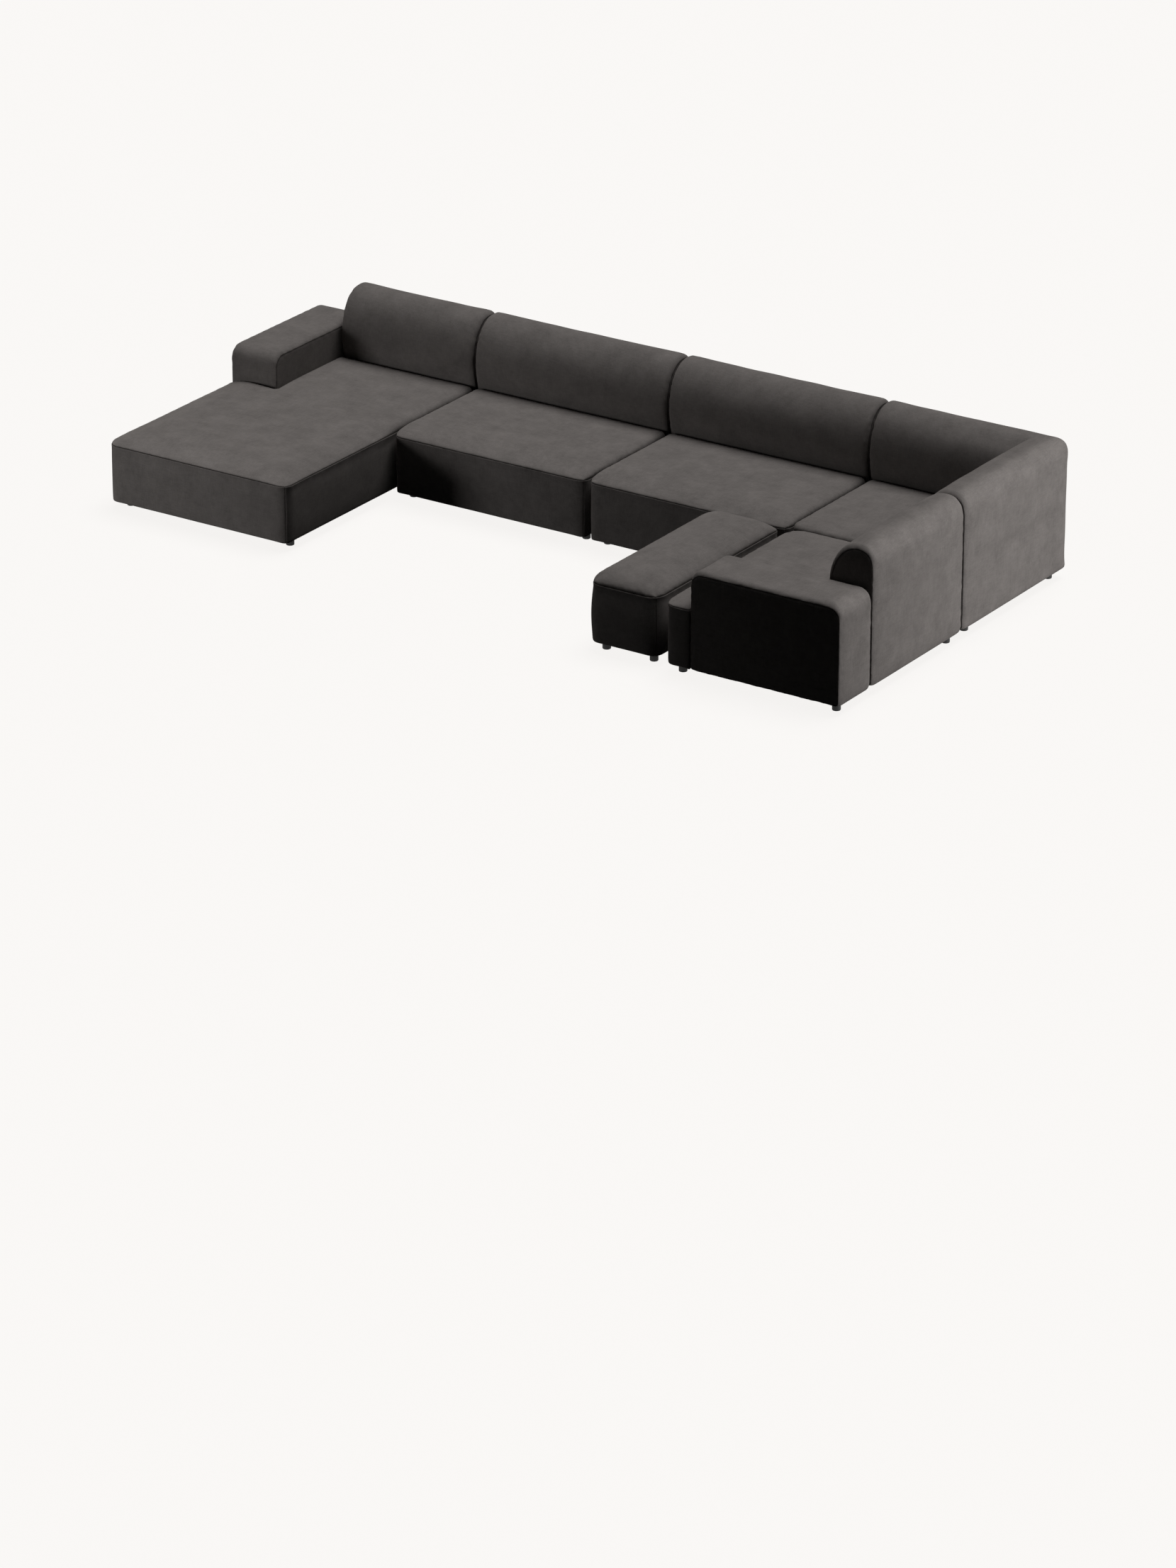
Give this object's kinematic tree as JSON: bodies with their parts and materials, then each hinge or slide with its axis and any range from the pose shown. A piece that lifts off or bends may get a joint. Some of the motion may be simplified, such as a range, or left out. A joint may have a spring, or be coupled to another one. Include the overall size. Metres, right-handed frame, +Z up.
{
  "type": "modular corner sofa",
  "caption": "U-shaped modular sofa with a chaise, armless seats, a corner, an end unit with an arm and a narrow ottoman; upholstered blocks on short round feet.",
  "frame": {"origin": "on the floor, under the middle of the whole sofa's box", "axes": "+X along the backs from the chaise to the corner, +Y from the seats' fronts to the backs, +Z up"},
  "size_m": [4.567, 2.167, 0.764],
  "materials": {
    "upholstery": "matt brushed chenille",
    "frame_wood": "bare sawn and planed",
    "webbing": "woven elastic",
    "link_steel": "zinc plated",
    "foot_plastic": "fine grained"
  },
  "bodies": {
    "corner_unit": {"corner_seat": "upholstery", "corner_rear_back": "upholstery", "corner_side_back": "upholstery", "corner_base_frame": "frame_wood", "corner_rear_back_frame": "frame_wood", "corner_side_back_frame": "frame_wood", "corner_webbing": "webbing", "corner_link_bar": "link_steel", "corner_foot_rear_left": "foot_plastic", "corner_foot_rear_right": "foot_plastic", "corner_foot_front_left": "foot_plastic", "corner_foot_front_right": "foot_plastic"},
    "right_unit": {"right_seat": "upholstery", "right_back": "upholstery", "right_base_frame": "frame_wood", "right_back_frame": "frame_wood", "right_webbing": "webbing", "right_link_bar": "link_steel", "right_foot_rear_left": "foot_plastic", "right_foot_rear_right": "foot_plastic", "right_foot_front_left": "foot_plastic", "right_foot_front_right": "foot_plastic"},
    "left_unit": {"left_seat": "upholstery", "left_back": "upholstery", "left_base_frame": "frame_wood", "left_back_frame": "frame_wood", "left_webbing": "webbing", "left_link_bar": "link_steel", "left_foot_rear_left": "foot_plastic", "left_foot_rear_right": "foot_plastic", "left_foot_front_left": "foot_plastic", "left_foot_front_right": "foot_plastic"},
    "chaise_unit": {"chaise_seat": "upholstery", "chaise_back": "upholstery", "chaise_arm": "upholstery", "chaise_base_frame": "frame_wood", "chaise_back_frame": "frame_wood", "chaise_webbing": "webbing", "chaise_link_bar": "link_steel", "chaise_foot_rear_left": "foot_plastic", "chaise_foot_rear_right": "foot_plastic", "chaise_foot_front_left": "foot_plastic", "chaise_foot_front_right": "foot_plastic"},
    "end_unit": {"end_seat": "upholstery", "end_back": "upholstery", "end_arm": "upholstery", "end_base_frame": "frame_wood", "end_back_frame": "frame_wood", "end_webbing": "webbing", "end_link_bar": "link_steel", "end_foot_rear_left": "foot_plastic", "end_foot_rear_right": "foot_plastic", "end_foot_front_left": "foot_plastic", "end_foot_front_right": "foot_plastic"},
    "ottoman_unit": {"ottoman_seat": "upholstery", "ottoman_base_frame": "frame_wood", "ottoman_foot_rear_left": "foot_plastic", "ottoman_foot_rear_right": "foot_plastic", "ottoman_foot_front_left": "foot_plastic", "ottoman_foot_front_right": "foot_plastic"}
  },
  "joints": [
    {"name": "right_unit_slide", "type": "slide", "parent": "corner_unit", "child": "right_unit", "axis": [-1, 0, 0], "range_m": [0, 0.3]},
    {"name": "left_unit_slide", "type": "slide", "parent": "right_unit", "child": "left_unit", "axis": [-1, 0, 0], "range_m": [0, 0.3]},
    {"name": "chaise_unit_slide", "type": "slide", "parent": "left_unit", "child": "chaise_unit", "axis": [-1, 0, 0], "range_m": [0, 0.3]},
    {"name": "end_unit_slide", "type": "slide", "parent": "corner_unit", "child": "end_unit", "axis": [0, -1, 0], "range_m": [0, 0.3]},
    {"name": "ottoman_slide", "type": "slide", "parent": "corner_unit", "child": "ottoman_unit", "axis": [-1, 0, 0], "range_m": [0, 1.9]}
  ]
}
